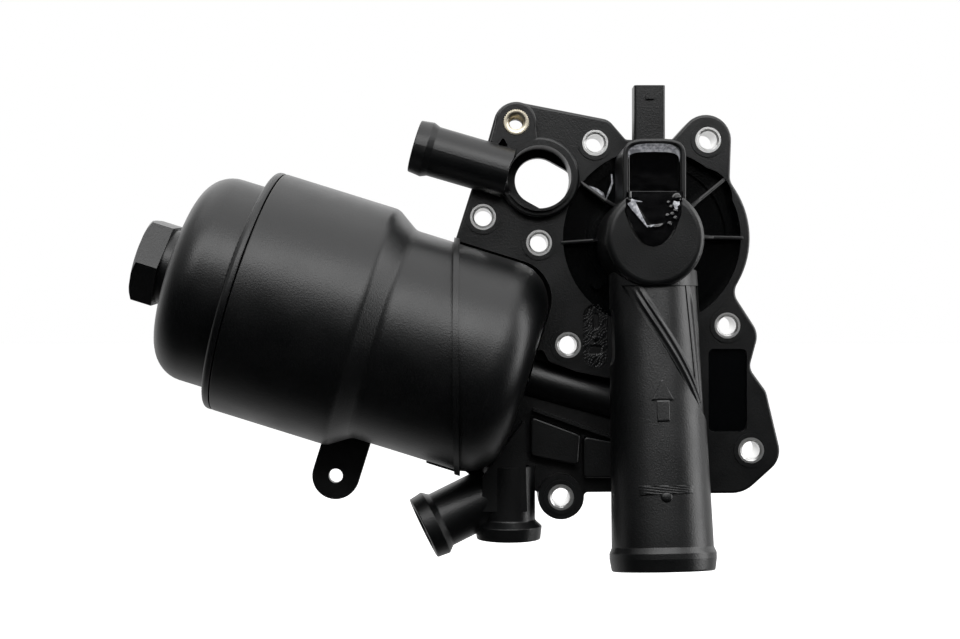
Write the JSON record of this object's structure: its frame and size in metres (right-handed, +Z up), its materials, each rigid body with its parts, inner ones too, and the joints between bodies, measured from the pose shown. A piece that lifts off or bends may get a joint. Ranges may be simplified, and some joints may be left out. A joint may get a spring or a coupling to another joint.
{
  "type": "oil filter housing",
  "caption": "Plastic oil filter housing with a screw cap and paper element, a heated thermostat under a dome, a coolant pipe, hose spigots and a bolted flange.",
  "frame": {"origin": "centre of the datum screw sleeve at the mounting face, the sleeve beside the long round pocket", "axes": "+Y out of the mounting face into the engine, +Z up along the engine as in the picture, +X to the right seen from the front; the front looks along +Y"},
  "size_m": [0.2449, 0.0932, 0.1787],
  "materials": {
    "moulded_nylon": "matte",
    "cap_nylon": "matte",
    "filter_media": "matte",
    "element_plastic": "satin",
    "valve_plastic": "satin",
    "seal_rubber": "matte",
    "gasket_rubber": "matte",
    "stamped_steel": "satin",
    "spring_steel": "satin",
    "capsule_brass": "satin",
    "terminal_tin": "satin",
    "potting": "gloss",
    "sleeve_aluminium": "satin",
    "insert_brass": "satin"
  },
  "bodies": {
    "root": {"main_housing": "moulded_nylon", "filter_bowl": "moulded_nylon", "thermostat_frame": "stamped_steel", "thermostat_seal": "seal_rubber", "thermostat_spring": "spring_steel", "heater_pin": "stamped_steel", "connector_terminals": "terminal_tin", "potting_resin": "potting", "bolt_sleeves": "sleeve_aluminium", "brass_insert": "insert_brass", "coolant_gasket": "gasket_rubber", "oil_gaskets": "gasket_rubber"},
    "element": {"filter_paper": "filter_media", "element_outer_plate": "element_plastic", "element_inner_plate": "element_plastic", "element_core": "element_plastic", "element_seal": "seal_rubber"},
    "cap": {"filter_cap": "cap_nylon", "cap_seal": "seal_rubber", "bypass_cage": "valve_plastic", "bypass_spring": "spring_steel"},
    "bypass_valve": {"bypass_disc": "valve_plastic"},
    "thermostat_valve": {"thermostat_plate": "stamped_steel", "wax_capsule": "capsule_brass"}
  },
  "joints": [
    {"name": "cap_unscrew", "type": "slide", "parent": "root", "child": "element", "axis": [-0.9548, 0, 0.2974], "range_m": [0, 0.014]},
    {"name": "cap_turn", "type": "hinge", "parent": "element", "child": "cap", "pos_m": [-0.1207, -0.022, 0.0203], "axis": [-0.9548, 0, 0.2974], "range_deg": [0, 1260]},
    {"name": "bypass_open", "type": "slide", "parent": "cap", "child": "bypass_valve", "axis": [0.9548, 0, -0.2974], "range_m": [0, 0.004], "stiffness_N_per_m": 1900, "springref_m": -0.01, "deforming": ["bypass_spring"]},
    {"name": "thermostat_open", "type": "slide", "parent": "root", "child": "thermostat_valve", "axis": [0, 1, 0], "range_m": [0, 0.008], "stiffness_N_per_m": 5000, "springref_m": -0.01, "deforming": ["thermostat_spring"]}
  ],
  "couplings": [
    {"joint": "cap_turn", "follows": "cap_unscrew", "rad_per_m": 1570}
  ]
}
